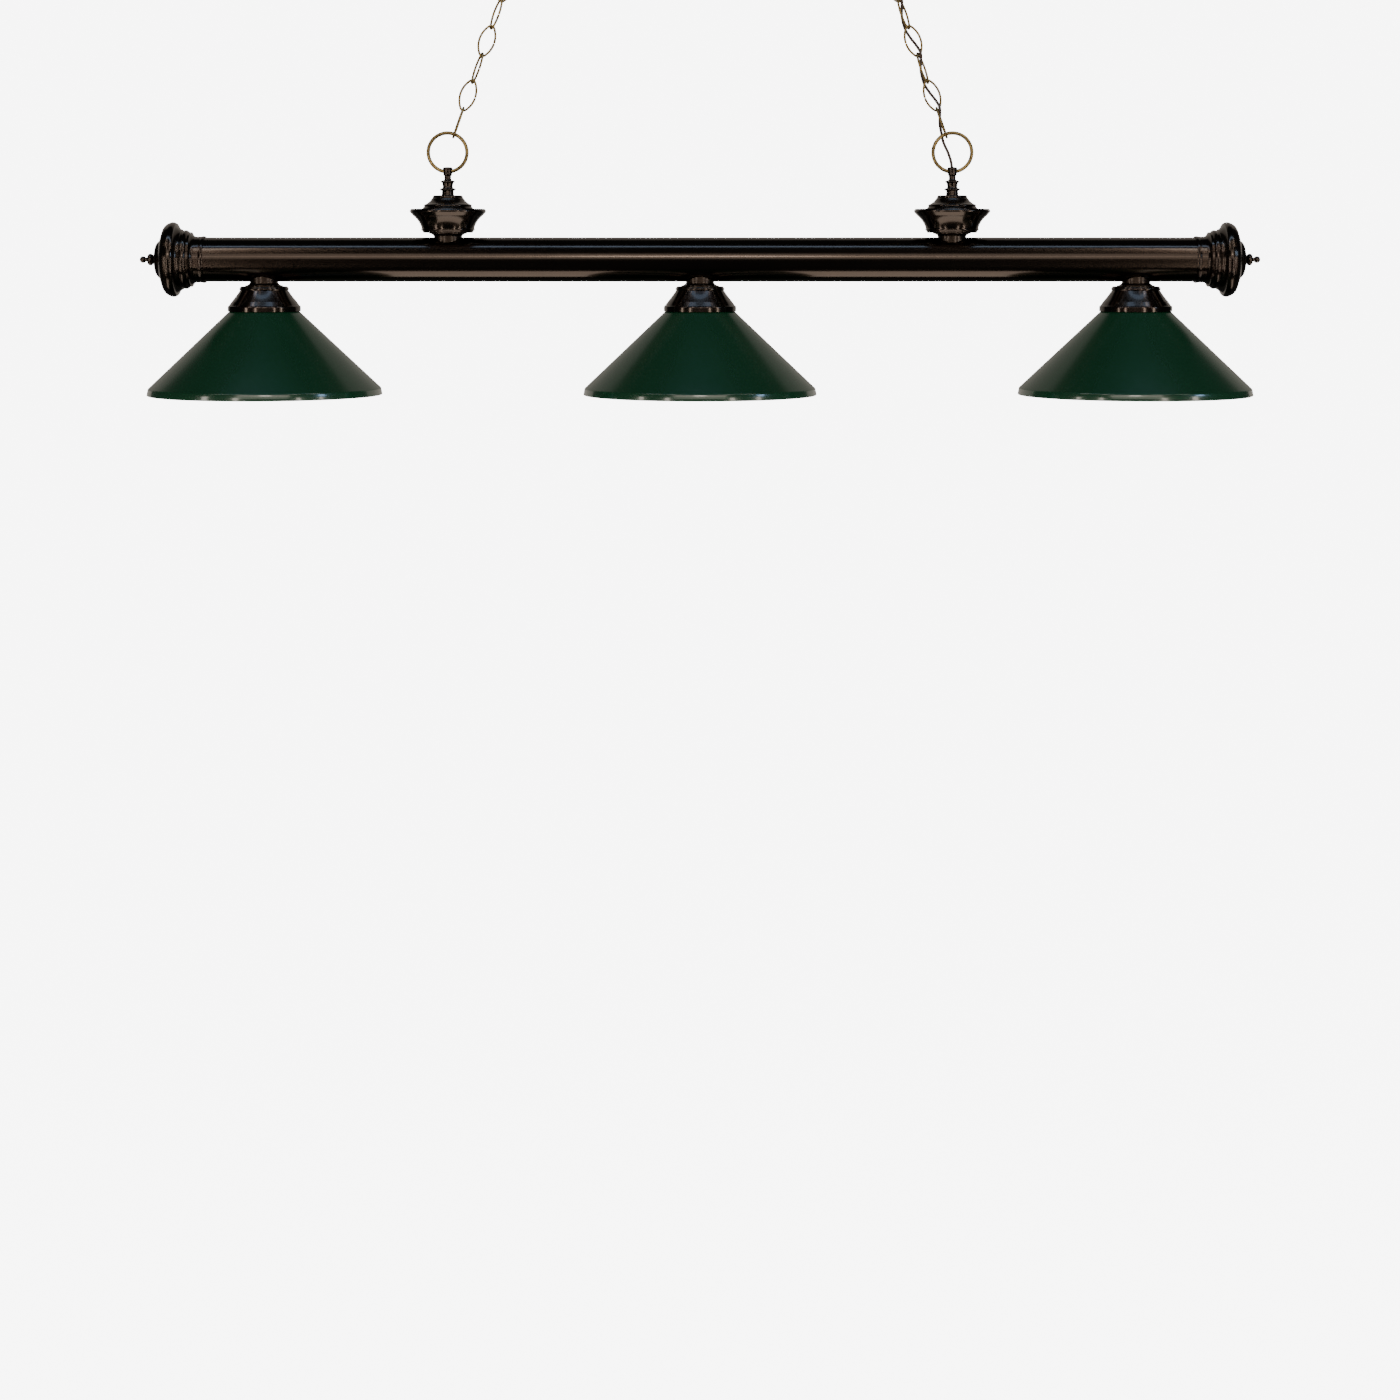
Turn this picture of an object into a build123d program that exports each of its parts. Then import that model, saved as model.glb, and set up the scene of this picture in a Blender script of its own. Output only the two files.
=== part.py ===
from build123d import *

import os
from math import asin, atan2, cos, degrees, pi, radians, sin, sqrt, tan

# Three-light lamp for a pool table, hung from the ceiling on two chains.
# Millimetres. X runs along the bar, Y is depth, Z is up. The origin lies on the ceiling,
# midway between the two canopies, so the whole lamp is below Z = 0.

# ---- Driving dimensions ----
BAR_DROP = 434.0  # ceiling to the bar's axis
TUBE_RADIUS = 28.5
TUBE_WALL = 1.2
TUBE_END = 650.0  # half the tube's length
SHEET = 1.0  # wall of the spun caps, cups and canopies
SHADE_PITCH = 563.0
HANGER_X = 325.0
STUD_RADIUS = 2.0
STUD_END = 711.0  # the finial studs' ends, from the bar's middle
BRACKET_X = 630.0  # inner face of the end brackets
FIT = 0.1  # radial room round a stud, a nipple or a sleeve
BORE_RADIUS = 5.0 + FIT  # hole for a threaded nipple
NIPPLE_RADIUS = 5.0
NIPPLE_BORE = 3.8
NUT_FLATS = 16.0  # across the flats
WIREWAY = 2.4  # bore that the power cord passes through
CORD_RADIUS = 1.9
WIRE_RADIUS = 0.9

# hanger ring and chain
RING_RADIUS = 24.9
RING_WIRE = 4.8
RING_HEIGHT = 137.7  # ring's centre above the bar's axis
CONTACT_ANGLE = 21.0  # where the chain bears on the ring, from the ring's top
CHAIN_LEAN = 19.6  # from the vertical, towards the lamp's middle
LINK_COUNT = 6
LINK_LENGTH = 43.4
LINK_WIDTH = 22.5
LINK_WIRE = 3.0
LINK_END_RADIUS = 4.5
LINK_PLAY = 0.5
LINK_SEAM = 0.4  # open butt joint in the side of each link
LINK_TWISTS = (82, 0, 70, 0, 65, 0)  # link's turn about the chain, 0 faces the front
LOOP_RADIUS = 13.0
LOOP_WIRE = 4.0

# shade holder, from the bar's axis down
CUP_TOP = -34.6
FLANGE_BOTTOM = -51.2
SHADE_TOP = -51.6
SHADE_NECK_RADIUS = 29.0
SHADE_RADIUS = 150.9
SHADE_EDGE = -166.2
SHADE_BOTTOM = -175.0
SHADE_WALL = 0.9
GLASS_WALL = 0.8
SOCKET_RADIUS = 19.5
RUNNING_GAP = 0.35

# ceiling fittings
CANOPY_RADIUS = 62.5
CANOPY_DEPTH = 30.0
STRAP_SIZE = (16.0, 100.0, 2.0)
STRAP_HOLE_PITCH = 70.0
STRAP_HOLE_RADIUS = 2.3
LOOP_COLLAR = (-CANOPY_DEPTH - 7.0, -CANOPY_DEPTH - FIT)

# ---- Places worked out from the driving dimensions ----
SIDES = {"left": -1, "right": 1}
SHADES = {"left": -SHADE_PITCH, "centre": 0.0, "right": SHADE_PITCH}
LINK_REACH = LINK_LENGTH - LINK_WIRE  # between the middles of a link's two end wires
LINK_PITCH = LINK_REACH - LINK_WIRE - LINK_PLAY
FOOT_REACH = RING_RADIUS - (RING_WIRE + LINK_WIRE) / 2 - LINK_PLAY
LEAN = radians(CHAIN_LEAN)


def chain_point(side, along, across=0.0, depth=0.0):
    """A point by its way up the chain, its way outwards across it, and its depth."""
    foot_x = HANGER_X - FOOT_REACH * sin(radians(CONTACT_ANGLE))
    foot_z = RING_HEIGHT + FOOT_REACH * cos(radians(CONTACT_ANGLE)) - BAR_DROP
    x = foot_x - along * sin(LEAN) + across * cos(LEAN)
    return Vector(side * x, depth, foot_z + along * cos(LEAN) + across * sin(LEAN))


CHAIN_TOP = (LINK_COUNT - 1) * LINK_PITCH + LINK_REACH
LOOP_FOOT = chain_point(1, CHAIN_TOP - (LINK_WIRE + LOOP_WIRE) / 2 - LINK_PLAY)
CANOPY_X = LOOP_FOOT.X
LOOP_TOP = LOOP_FOOT.Z + 2 * LOOP_RADIUS

# The power cord's route, from the right hanger post, through the right chain, to the canopy.
CORD_ROUTE = [
    (325.0, 0.0, -334.0),
    (325.0, 0.0, -314.0),
    (320.5, 2.0, -298.0),
    (313.5, 5.6, -283.5),
    (312.0, 5.6, -274.9),
    (308.3, 0.8, -260.3),
    (308.5, -1.2, -249.6),
    (308.5, -5.0, -238.5),
    (302.2, -2.2, -228.5),
    (295.7, 1.6, -220.2),
    (289.0, 4.8, -209.9),
    (285.7, 3.4, -200.4),
    (283.5, 0.8, -190.8),
    (283.7, -1.2, -180.1),
    (283.7, -5.0, -169.0),
    (277.5, -2.2, -159.0),
    (270.9, 1.6, -150.7),
    (264.3, 4.8, -140.3),
    (260.9, 3.4, -130.9),
    (258.8, 0.8, -121.3),
    (259.0, -1.2, -110.6),
    (258.9, -5.0, -99.5),
    (253.7, -1.0, -88.7),
    (251.1, 3.0, -80.1),
    (249.2, 5.4, -72.3),
    (246.4, 4.4, -62.1),
    (243.9, 2.0, -53.1),
    (243.6, 0.0, -45.6),
    (243.6, 0.0, -26.1),
]

os.makedirs("parts", exist_ok=True)


# ---- Shared ways of making a piece ----
def upright(x, height=-BAR_DROP):
    """Profile plane of a piece turned about a vertical axis: local X is radius, local Y is up."""
    return Plane(origin=(x, 0, height), x_dir=(1, 0, 0), z_dir=(0, -1, 0))


def outward(side):
    """Profile plane of a piece turned about the bar's axis: local X is radius, local Y runs out."""
    return Plane(origin=(0, 0, -BAR_DROP), x_dir=(0, 0, 1), z_dir=(0, side, 0))


def turning_axis(plane):
    return Axis(plane.origin, plane.y_dir)


def draw(outline):
    """Joins (radius, height) stations; a third value is the sagitta of the arc ending there."""
    for start, end in zip(outline, outline[1:]):
        if len(end) == 2:
            Line(start[:2], end[:2])
        else:
            SagittaArc(start[:2], end[:2], end[2])


def turned(outline, plane):
    """A solid piece: the outline closes on itself and turns about the plane's local Y."""
    with BuildPart() as piece:
        with BuildSketch(plane):
            with BuildLine():
                draw([*outline, outline[0][:2]])
            make_face()
        revolve(axis=turning_axis(plane))
    return piece


def spun(outline, plane, inner, wall=SHEET):
    """A thin piece: the open outline is its outer face, thickened to its inner side and turned."""
    with BuildPart() as piece:
        with BuildSketch(plane):
            with BuildLine():
                draw(outline)
                offset(amount=wall, side=inner)
            make_face()
        revolve(axis=turning_axis(plane))
    return piece


def keep(piece, label):
    piece.part.label = label
    export_step(piece.part, f"parts/{label}.step")


# ---- The bar ----
def make_tube():
    with BuildPart() as tube:
        with BuildSketch(Plane(origin=(-TUBE_END, 0, -BAR_DROP), z_dir=(1, 0, 0))):
            Circle(TUBE_RADIUS)
            Circle(TUBE_RADIUS - TUBE_WALL, mode=Mode.SUBTRACT)
        extrude(amount=2 * TUBE_END)
        with BuildSketch(Plane.XY.offset(-BAR_DROP)):
            with Locations(*[(side * HANGER_X, 0) for side in SIDES.values()]):
                Circle(BORE_RADIUS)
        extrude(amount=TUBE_RADIUS + 1, mode=Mode.SUBTRACT)
        with BuildSketch(Plane.XY.offset(-BAR_DROP)):
            with Locations(*[(x, 0) for x in SHADES.values()]):
                Circle(BORE_RADIUS)
        extrude(amount=-TUBE_RADIUS - 1, mode=Mode.SUBTRACT)
    return tube


END_CAP_OUTLINE = [
    (29.7, 638.0),
    (29.9, 642.0, -0.5),
    (29.6, 643.4),
    (29.6, 650.0),
    (35.2, 655.6, 1.1),
    (35.3, 658.4),
    (36.5, 659.6),
    (37.4, 665.2, -0.9),
    (37.0, 666.4),
    (38.6, 667.4),
    (46.2, 674.4, 1.3),
    (47.2, 683.4, -1.5),
    (40.6, 690.8, -1.1),
    (31.6, 693.9),
    (25.0, 695.9, 0.3),
    (15.4, 702.2, -1.6),
    (STUD_RADIUS + FIT, 704.6, -0.6),
]

BEAD_RADIUS = 3.8
BEAD_MIDDLE = (3.9, 709.2)
BEAD_SAGITTA = BEAD_RADIUS * (1 - sqrt(0.5))
BALL_RADIUS = 4.4
BALL_MIDDLE = 718.8
BALL_NECK = 2.5
BALL_SEAT = BALL_MIDDLE - sqrt(BALL_RADIUS**2 - BALL_NECK**2)
BALL_CHORD = sqrt(BALL_NECK**2 + (BALL_MIDDLE + BALL_RADIUS - BALL_SEAT) ** 2)
FINIAL_OUTLINE = [
    (3.1, 704.8),
    (BEAD_MIDDLE[0], BEAD_MIDDLE[1] - BEAD_RADIUS),
    (BEAD_MIDDLE[0] + BEAD_RADIUS, BEAD_MIDDLE[1], -BEAD_SAGITTA),
    (BEAD_MIDDLE[0], BEAD_MIDDLE[1] + BEAD_RADIUS, -BEAD_SAGITTA),
    (BALL_NECK, 713.8),
    (BALL_NECK, BALL_SEAT),
    (0.0, BALL_MIDDLE + BALL_RADIUS, -BALL_RADIUS + sqrt(BALL_RADIUS**2 - BALL_CHORD**2 / 4)),
    (0.0, STUD_END + 0.5),
    (STUD_RADIUS + FIT, STUD_END + 0.5),
    (STUD_RADIUS + FIT, 704.8),
]


def make_end_bracket(side):
    """A pressed disc inside the tube's end, with three wire holes and the finial's stud."""
    disc_plane = Plane(origin=(side * BRACKET_X, 0, -BAR_DROP), z_dir=(side, 0, 0))
    with BuildPart() as bracket:
        with BuildSketch(disc_plane):
            Circle(TUBE_RADIUS - TUBE_WALL - FIT)
            with PolarLocations(16.0, 3, start_angle=90):
                Circle(6.0, mode=Mode.SUBTRACT)
        extrude(amount=2.5)
        with BuildSketch(disc_plane):
            Circle(STUD_RADIUS)
        extrude(amount=STUD_END - BRACKET_X)
    return bracket


# ---- Hanger stacks on top of the bar ----
def make_neck_collars():
    """Five saddle-cut collars, two above the bar for the hangers and three below for the shades."""
    outline = [
        (BORE_RADIUS, 20.0),
        (18.0, 20.0),
        (18.2, 30.4),
        (24.4, -CUP_TOP - 1.0, 0.7),
        (24.4, -CUP_TOP - FIT),
        (BORE_RADIUS, -CUP_TOP - FIT),
        (BORE_RADIUS, 20.0),
    ]
    above = [upright(side * HANGER_X) for side in SIDES.values()]
    below = [Plane(p.origin, x_dir=p.x_dir, z_dir=-p.z_dir) for p in map(upright, SHADES.values())]
    saddle = Plane(origin=(-TUBE_END, 0, -BAR_DROP), z_dir=(1, 0, 0))
    with BuildPart() as collars:
        for plane in above + below:
            with BuildSketch(plane):
                with BuildLine():
                    draw(outline)
                make_face()
            revolve(axis=turning_axis(plane))
        with BuildSketch(saddle):
            Circle(TUBE_RADIUS + FIT)
        extrude(amount=2 * TUBE_END, mode=Mode.SUBTRACT)
    return collars


HANGER_CUP_OUTLINE = [
    (BORE_RADIUS, -CUP_TOP),
    (29.6, -CUP_TOP),
    (32.6, 36.2, -0.8),
    (33.4, 37.4),
    (34.4, 39.2, -0.5),
    (33.9, 40.4),
    (44.8, 56.6, 1.6),
    (48.2, 60.4),
    (48.6, 63.6, -0.7),
    (47.4, 65.2),
]

HANGER_CONE_OUTLINE = [
    (BORE_RADIUS, 82.6),
    (17.0, 82.6),
    (19.3, 80.6, 0.6),
    (19.6, 79.4),
    (20.6, 78.4),
    (27.6, 71.8, -0.6),
    (29.6, 71.0),
    (30.9, 69.0, 0.4),
    (30.6, 68.2),
    (32.8, 65.6),
    (33.0, 62.0),
    (30.0, -CUP_TOP + SHEET + FIT),
]


def hanger_post_outline():
    base = 82.6 + FIT
    return [
        (BORE_RADIUS, base),
        (7.9, base),
        (7.6, 88.4),
        (9.4, 89.2),
        (9.4, 91.2, -0.9),
        (7.2, 92.0),
        (6.6, 95.0, 0.4),
        (7.2, 98.4),
        (8.4, 99.2),
        (8.4, 101.0, -0.8),
        (6.4, 101.8),
        (4.4, 104.6, 0.8),
        (4.4, 107.4),
        (5.7, 111.0, -0.6),
        (5.9, 115.6),
        (5.0, 118.6, -0.8),
        (WIREWAY, 118.9),
        (WIREWAY, 89.0),
        (BORE_RADIUS, 89.0),
    ]


def make_hanger_ring(side):
    """A round wire ring, open at the bottom where its two ends enter the post's knuckle."""
    plane = upright(side * HANGER_X, RING_HEIGHT - BAR_DROP)
    gap = degrees(asin((WIREWAY + 0.6) / RING_RADIUS))
    with BuildPart() as ring:
        with BuildLine(plane) as path:
            CenterArc((0, 0), RING_RADIUS, -90 + gap, 360 - 2 * gap)
        with BuildSketch(Plane(origin=path.line @ 0, z_dir=path.line % 0)):
            Circle(RING_WIRE / 2)
        sweep(path=path.line)
    return ring


def make_hanger_post(side, ring):
    plane = upright(side * HANGER_X)
    with BuildPart() as post:
        with BuildSketch(plane):
            with BuildLine():
                outline = hanger_post_outline()
                draw([*outline, outline[0]])
            make_face()
        revolve(axis=turning_axis(plane))
        add(ring.part, mode=Mode.SUBTRACT)
    return post


# ---- Chains ----
def make_link(side, number):
    """A pointed-oval wire link: two wide side arcs and two small end arcs, butted in one side."""
    middle = chain_point(side, (number - 1) * LINK_PITCH + LINK_REACH / 2)
    up = (chain_point(side, 1) - chain_point(side, 0)).normalized()
    across = (chain_point(side, 0, 1) - chain_point(side, 0)).normalized()
    twist = radians(LINK_TWISTS[number - 1])
    facing = across * cos(twist) + Vector(0, sin(twist), 0)
    plane = Plane(origin=middle, x_dir=facing, z_dir=facing.cross(up))
    half_width = (LINK_WIDTH - LINK_WIRE) / 2
    rise = LINK_REACH / 2 - LINK_END_RADIUS
    side_radius = (rise**2 + half_width**2 - LINK_END_RADIUS**2) / (2 * (half_width - LINK_END_RADIUS))
    shift = side_radius - half_width
    meet = degrees(atan2(rise, shift))
    seam = degrees(LINK_SEAM / 2 / side_radius)
    with BuildPart() as link:
        with BuildLine(plane) as path:
            CenterArc((shift, 0), side_radius, 180 + seam, meet - seam)
            CenterArc((0, -rise), LINK_END_RADIUS, 180 + meet, 180 - 2 * meet)
            CenterArc((-shift, 0), side_radius, -meet, 2 * meet)
            CenterArc((0, rise), LINK_END_RADIUS, meet, 180 - 2 * meet)
            CenterArc((shift, 0), side_radius, 180 - meet, meet - seam)
        with BuildSketch(Plane(origin=path.wires()[0] @ 0, z_dir=path.wires()[0] % 0)):
            Circle(LINK_WIRE / 2)
        sweep(path=path.wires()[0])
    return link


# ---- Shade holders, shades and bulbs ----
FITTER_CUP_OUTLINE = [
    (BORE_RADIUS, CUP_TOP),
    (28.6, CUP_TOP),
    (31.0, -36.6, 0.6),
    (31.6, -38.4, 0.3),
    (31.0, -39.8),
    (41.4, -53.8, -0.3),
    (45.2, -59.2),
    (46.8, -61.2, 0.4),
    (46.8, -66.6),
]

SHADE_OUTLINE = [
    (SOCKET_RADIUS + 1.0, SHADE_TOP),
    (SHADE_NECK_RADIUS, SHADE_TOP),
    (SHADE_RADIUS - 1.5, SHADE_EDGE),
    (SHADE_RADIUS, SHADE_EDGE - 2.4, 0.4),
    (SHADE_RADIUS, SHADE_BOTTOM),
]

SOCKET_OUTLINE = [
    (BORE_RADIUS, CUP_TOP - SHEET - FIT),
    (14.6, CUP_TOP - SHEET - FIT),
    (15.6, -37.2, 0.3),
    (15.6, -45.0),
    (18.6, -46.4),
    (18.6, -48.4),
    (22.5, -48.4),
    (22.5, FLANGE_BOTTOM),
    (SOCKET_RADIUS, FLANGE_BOTTOM),
    (SOCKET_RADIUS, -76.0),
    (14.4, -76.0),
    (14.4, -50.2),
    (BORE_RADIUS, -50.2),
]


def make_socket_shells():
    """Three brass screw shells, closed at the top by the centre contact's disc."""
    outline = [
        (0.0, -50.3),
        (14.1, -50.3),
        (14.1, -74.0),
        (13.6, -74.0),
        (13.6, -50.9),
        (0.0, -50.9),
        (0.0, -50.3),
    ]
    with BuildPart() as shells:
        for x in SHADES.values():
            with BuildSketch(upright(x)):
                with BuildLine():
                    draw(outline)
                make_face()
            revolve(axis=turning_axis(upright(x)))
    return shells


def make_shade_ring(x):
    """The ring nut that clamps a shade: a plain ring with ten finger ribs."""
    top = SHADE_TOP - SHADE_WALL - BAR_DROP
    with BuildPart() as ring:
        with BuildSketch(Plane(origin=(x, 0, top), x_dir=(1, 0, 0), z_dir=(0, 0, -1))):
            Circle(25.0)
            with PolarLocations(25.0, 10):
                Rectangle(3.2, 4.0)
            Circle(SOCKET_RADIUS + RUNNING_GAP, mode=Mode.SUBTRACT)
        extrude(amount=8.0)
    return ring


def make_bulb_base(x):
    """A screw base: the rounded thread is a row of rings above the insulator and contact."""
    pitch = 3.6  # from one thread ring to the next
    threads = [(12.5 if n % 2 else 13.1, -80.0 + n * pitch / 2) for n in range(10)]
    outline = [(12.6, -82.0), (13.1, -81.4)] + threads
    outline += [(9.6, -60.6), (5.0, -57.8), (4.6, -55.8), (0.0, -54.6), (0.0, -58.6)]
    outline += [(9.0, -61.8), (12.2, -64.6), (12.2, -70.0), (12.3, -82.0)]
    return turned(outline, upright(x))


def make_bulb_glass(x):
    """A pear-shaped glass envelope: a neck, a cone and a globe that the cone meets smoothly.
    It is open at the neck, where the screw base closes it."""
    globe = 30.0
    middle = -133.0
    slope = radians(35)
    meet = (globe * cos(slope), middle + globe * sin(slope))
    chord = sqrt(meet[0] ** 2 + (meet[1] - middle + globe) ** 2)
    sagitta = globe - sqrt(globe**2 - chord**2 / 4)
    neck = [(12.0, -76.0), (12.0, -94.0), (13.4, -99.2, 0.1)]
    return spun([*neck, meet, (0.0, middle - globe, sagitta)], upright(x), Side.RIGHT, GLASS_WALL)


# ---- Wiring inside the bar ----
CONNECTOR_X = 300.0
CONNECTOR_Y = 9.0
CONNECTOR_TOP = -1.0


def make_tube_wires():
    """Two wires down from the power cord, and a pair to each lampholder. Each wire keeps to its
    own lane: its place in the connector, its height and its way out from the bar's middle."""
    riser = CONNECTOR_X + 3.0
    lanes = {
        "left": (CONNECTOR_X - 3.0, 7.5, 12.5),
        "centre": (CONNECTOR_X - 1.0, 9.9, 7.0),
        "right": (CONNECTOR_X + 1.0, 12.3, 10.5),
    }
    routes = []
    for sign in (-1, 1):
        y = sign * CONNECTOR_Y
        routes.append([
            (HANGER_X, sign * 1.2, 99.0),
            (HANGER_X, sign * 1.2, 9.0),
            (riser, y, 4.5),
            (riser, y, CONNECTOR_TOP),
        ])
        for name, (start, height, out) in lanes.items():
            way = 1 if SHADES[name] > start else -1
            routes.append([
                (start, y, CONNECTOR_TOP),
                (start, y, height),
                (start + way * 12.0, sign * out, height),
                (SHADES[name] - way * 14.0, sign * out, height),
                (SHADES[name], sign * 1.6, -8.0),
                (SHADES[name], sign * 1.6, -49.0),
            ])
    with BuildPart() as wires:
        for route in routes:
            points = [(x, y, height - BAR_DROP) for x, y, height in route]
            with BuildLine() as path:
                FilletPolyline(*points, radius=2.5)
            with BuildSketch(Plane(origin=path.line @ 0, z_dir=path.line % 0)):
                Circle(WIRE_RADIUS)
            sweep(path=path.line)
    return wires


def make_wire_nuts():
    with BuildPart() as nuts:
        for y in (-CONNECTOR_Y, CONNECTOR_Y):
            top = (CONNECTOR_X, y, CONNECTOR_TOP - BAR_DROP)
            plane = Plane(origin=top, x_dir=(1, 0, 0), z_dir=(0, -1, 0))
            with BuildSketch(plane):
                with BuildLine():
                    draw([(0, -FIT), (5.6, -FIT), (5.6, -6), (3.2, -17), (0, -17.6), (0, -FIT)])
                make_face()
            revolve(axis=turning_axis(plane))
    return nuts


# ---- Threaded hardware ----
def make_nipples(spans):
    """Hollow threaded nipples, each given by its X, its low end and its length."""
    with BuildPart() as nipples:
        for x, low, length in spans:
            with BuildSketch(Plane(origin=(x, 0, low), x_dir=(1, 0, 0), z_dir=(0, 0, 1))):
                Circle(NIPPLE_RADIUS)
                Circle(NIPPLE_BORE, mode=Mode.SUBTRACT)
            extrude(amount=length)
    return nipples


def make_locknuts(spans):
    """Hex nuts for the nipples, each given by its X, its low face and its thickness."""
    with BuildPart() as nuts:
        for x, low, thickness in spans:
            with BuildSketch(Plane(origin=(x, 0, low), x_dir=(1, 0, 0), z_dir=(0, 0, 1))):
                RegularPolygon(NUT_FLATS / 2, 6, major_radius=False)
                Circle(BORE_RADIUS, mode=Mode.SUBTRACT)
            extrude(amount=thickness)
    return nuts


def make_bar_nipples():
    hangers = [(side * HANGER_X, 14.0 - BAR_DROP, 74.6) for side in SIDES.values()]
    sockets = [(x, -49.6 - BAR_DROP, 35.6) for x in SHADES.values()]
    return make_nipples(hangers + sockets)


def make_bar_locknuts():
    """Hex nuts inside the bar, as far out as their corners clear the tube's curved wall."""
    corner = NUT_FLATS / 2 / cos(radians(30))
    seat = sqrt((TUBE_RADIUS - TUBE_WALL) ** 2 - corner**2) - FIT
    thickness = 4.0
    above = [(side * HANGER_X, seat - thickness - BAR_DROP, thickness) for side in SIDES.values()]
    below = [(x, -seat - BAR_DROP, thickness) for x in SHADES.values()]
    return make_locknuts(above + below)


# ---- Ceiling fittings ----
CANOPY_OUTLINE = [
    (BORE_RADIUS, -CANOPY_DEPTH),
    (13.0, -CANOPY_DEPTH),
    (16.0, -28.4, 0.5),
    (33.0, -22.0, 1.4),
    (36.0, -21.6),
    (58.6, -7.6, -4.2),
    (59.6, -6.4),
    (CANOPY_RADIUS, -3.6, 0.6),
    (CANOPY_RADIUS, 0.0),
]


def make_canopy_loop(side):
    """A screw-collar loop: a knurled collar on a drilled stem, and a round eye across the bar."""
    x = side * CANOPY_X
    eye_plane = Plane(origin=(x, 0, LOOP_TOP - LOOP_RADIUS), x_dir=(0, 1, 0), z_dir=(1, 0, 0))
    with BuildPart() as loop:
        with BuildLine(eye_plane) as path:
            CenterArc((0, 0), LOOP_RADIUS, -90, 360)
        with BuildSketch(Plane(origin=path.line @ 0, z_dir=path.line % 0)):
            Circle(LOOP_WIRE / 2)
        sweep(path=path.line)
        with BuildSketch(upright(x, 0.0)):
            with BuildLine():
                draw([
                    (0.0, LOOP_TOP - 1.6),
                    (4.2, LOOP_TOP - 1.6),
                    (4.8, LOOP_COLLAR[0], -0.4),
                    (8.6, LOOP_COLLAR[0]),
                    (9.6, LOOP_COLLAR[0] + 1.0),
                    (9.6, LOOP_COLLAR[1]),
                    (0.0, LOOP_COLLAR[1]),
                    (0.0, LOOP_TOP - 1.6),
                ])
            make_face()
        revolve(axis=turning_axis(upright(x, 0.0)))
        with BuildSketch(Plane(origin=(x, 0, LOOP_COLLAR[1]), x_dir=(1, 0, 0), z_dir=(0, 0, -1))):
            Circle(WIREWAY)
        extrude(amount=LOOP_COLLAR[1] - LOOP_TOP + LOOP_WIRE, mode=Mode.SUBTRACT)
        with BuildSketch(Plane(origin=(x, 0, LOOP_COLLAR[1]), x_dir=(1, 0, 0), z_dir=(0, 0, -1))):
            Circle(BORE_RADIUS)
        extrude(amount=5.5, mode=Mode.SUBTRACT)
    return loop


def make_mounting_straps():
    """Flat cross bars under the ceiling boxes, each with two screw holes and a tapped centre."""
    width, length, thickness = STRAP_SIZE
    with BuildPart() as straps:
        with BuildSketch(Plane.XY):
            with Locations(*[(side * CANOPY_X, 0) for side in SIDES.values()]):
                SlotOverall(length, width, rotation=90)
                Circle(BORE_RADIUS, mode=Mode.SUBTRACT)
                with GridLocations(1, STRAP_HOLE_PITCH, 1, 2):
                    Circle(STRAP_HOLE_RADIUS, mode=Mode.SUBTRACT)
        extrude(amount=-thickness)
    return straps


def make_canopy_nipples():
    low = LOOP_COLLAR[1] - 5.0
    return make_nipples([(side * CANOPY_X, low, -low) for side in SIDES.values()])


def make_canopy_locknuts():
    """Hex nuts under the straps and just inside the canopies."""
    thickness = 3.0
    lows = [-STRAP_SIZE[2] - FIT - thickness, -CANOPY_DEPTH + SHEET + FIT]
    return make_locknuts([(side * CANOPY_X, low, thickness) for side in SIDES.values() for low in lows])


# ---- Power cord ----
def corner_radii(points):
    """The largest arc that each corner's two runs allow."""
    radii = []
    for before, corner, after in zip(points, points[1:], points[2:]):
        run_in = Vector(*corner) - Vector(*before)
        run_out = Vector(*after) - Vector(*corner)
        half_turn = radians(run_in.get_angle(run_out)) / 2
        radii.append(0.45 * min(run_in.length, run_out.length) / tan(half_turn))
    return radii


def make_power_cord():
    radii = corner_radii(CORD_ROUTE)
    with BuildPart() as cord:
        with BuildLine() as path:
            FilletPolyline(*CORD_ROUTE, radius=radii)
        with BuildSketch(Plane(origin=path.line @ 0, z_dir=path.line % 0)):
            Circle(CORD_RADIUS)
        sweep(path=path.line)
    print("cord radii:", [round(radius, 1) for radius in radii])
    length = sum(edge.length for edge in path.edges())
    swept = cord.part.volume / (pi * CORD_RADIUS**2)
    print("cord length:", round(length, 1), "and its volume over its section:", round(swept, 1))
    return cord


# ---- Make and write every piece ----
keep(make_tube(), "tube")
keep(make_neck_collars(), "neck_collars")
keep(make_bar_nipples(), "bar_nipples")
keep(make_bar_locknuts(), "bar_locknuts")
keep(make_tube_wires(), "tube_wires")
keep(make_wire_nuts(), "wire_nuts")
keep(make_socket_shells(), "socket_shells")
keep(make_mounting_straps(), "mounting_straps")
keep(make_canopy_nipples(), "canopy_nipples")
keep(make_canopy_locknuts(), "canopy_locknuts")
keep(make_power_cord(), "power_cord")

for name, side in SIDES.items():
    hanger = upright(side * HANGER_X)
    ring = make_hanger_ring(side)
    keep(spun(END_CAP_OUTLINE, outward(side), Side.LEFT), f"end_cap_{name}")
    keep(turned(FINIAL_OUTLINE, outward(side)), f"finial_{name}")
    keep(make_end_bracket(side), f"end_bracket_{name}")
    keep(spun(HANGER_CUP_OUTLINE, hanger, Side.LEFT), f"hanger_cup_{name}")
    keep(spun(HANGER_CONE_OUTLINE, hanger, Side.RIGHT), f"hanger_cone_{name}")
    keep(ring, f"hanger_ring_{name}")
    keep(make_hanger_post(side, ring), f"hanger_post_{name}")
    keep(spun(CANOPY_OUTLINE, upright(side * CANOPY_X, 0.0), Side.LEFT), f"ceiling_canopy_{name}")
    keep(make_canopy_loop(side), f"canopy_loop_{name}")
    for number in range(1, LINK_COUNT + 1):
        keep(make_link(side, number), f"chain_link_{name}_{number}")

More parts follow.
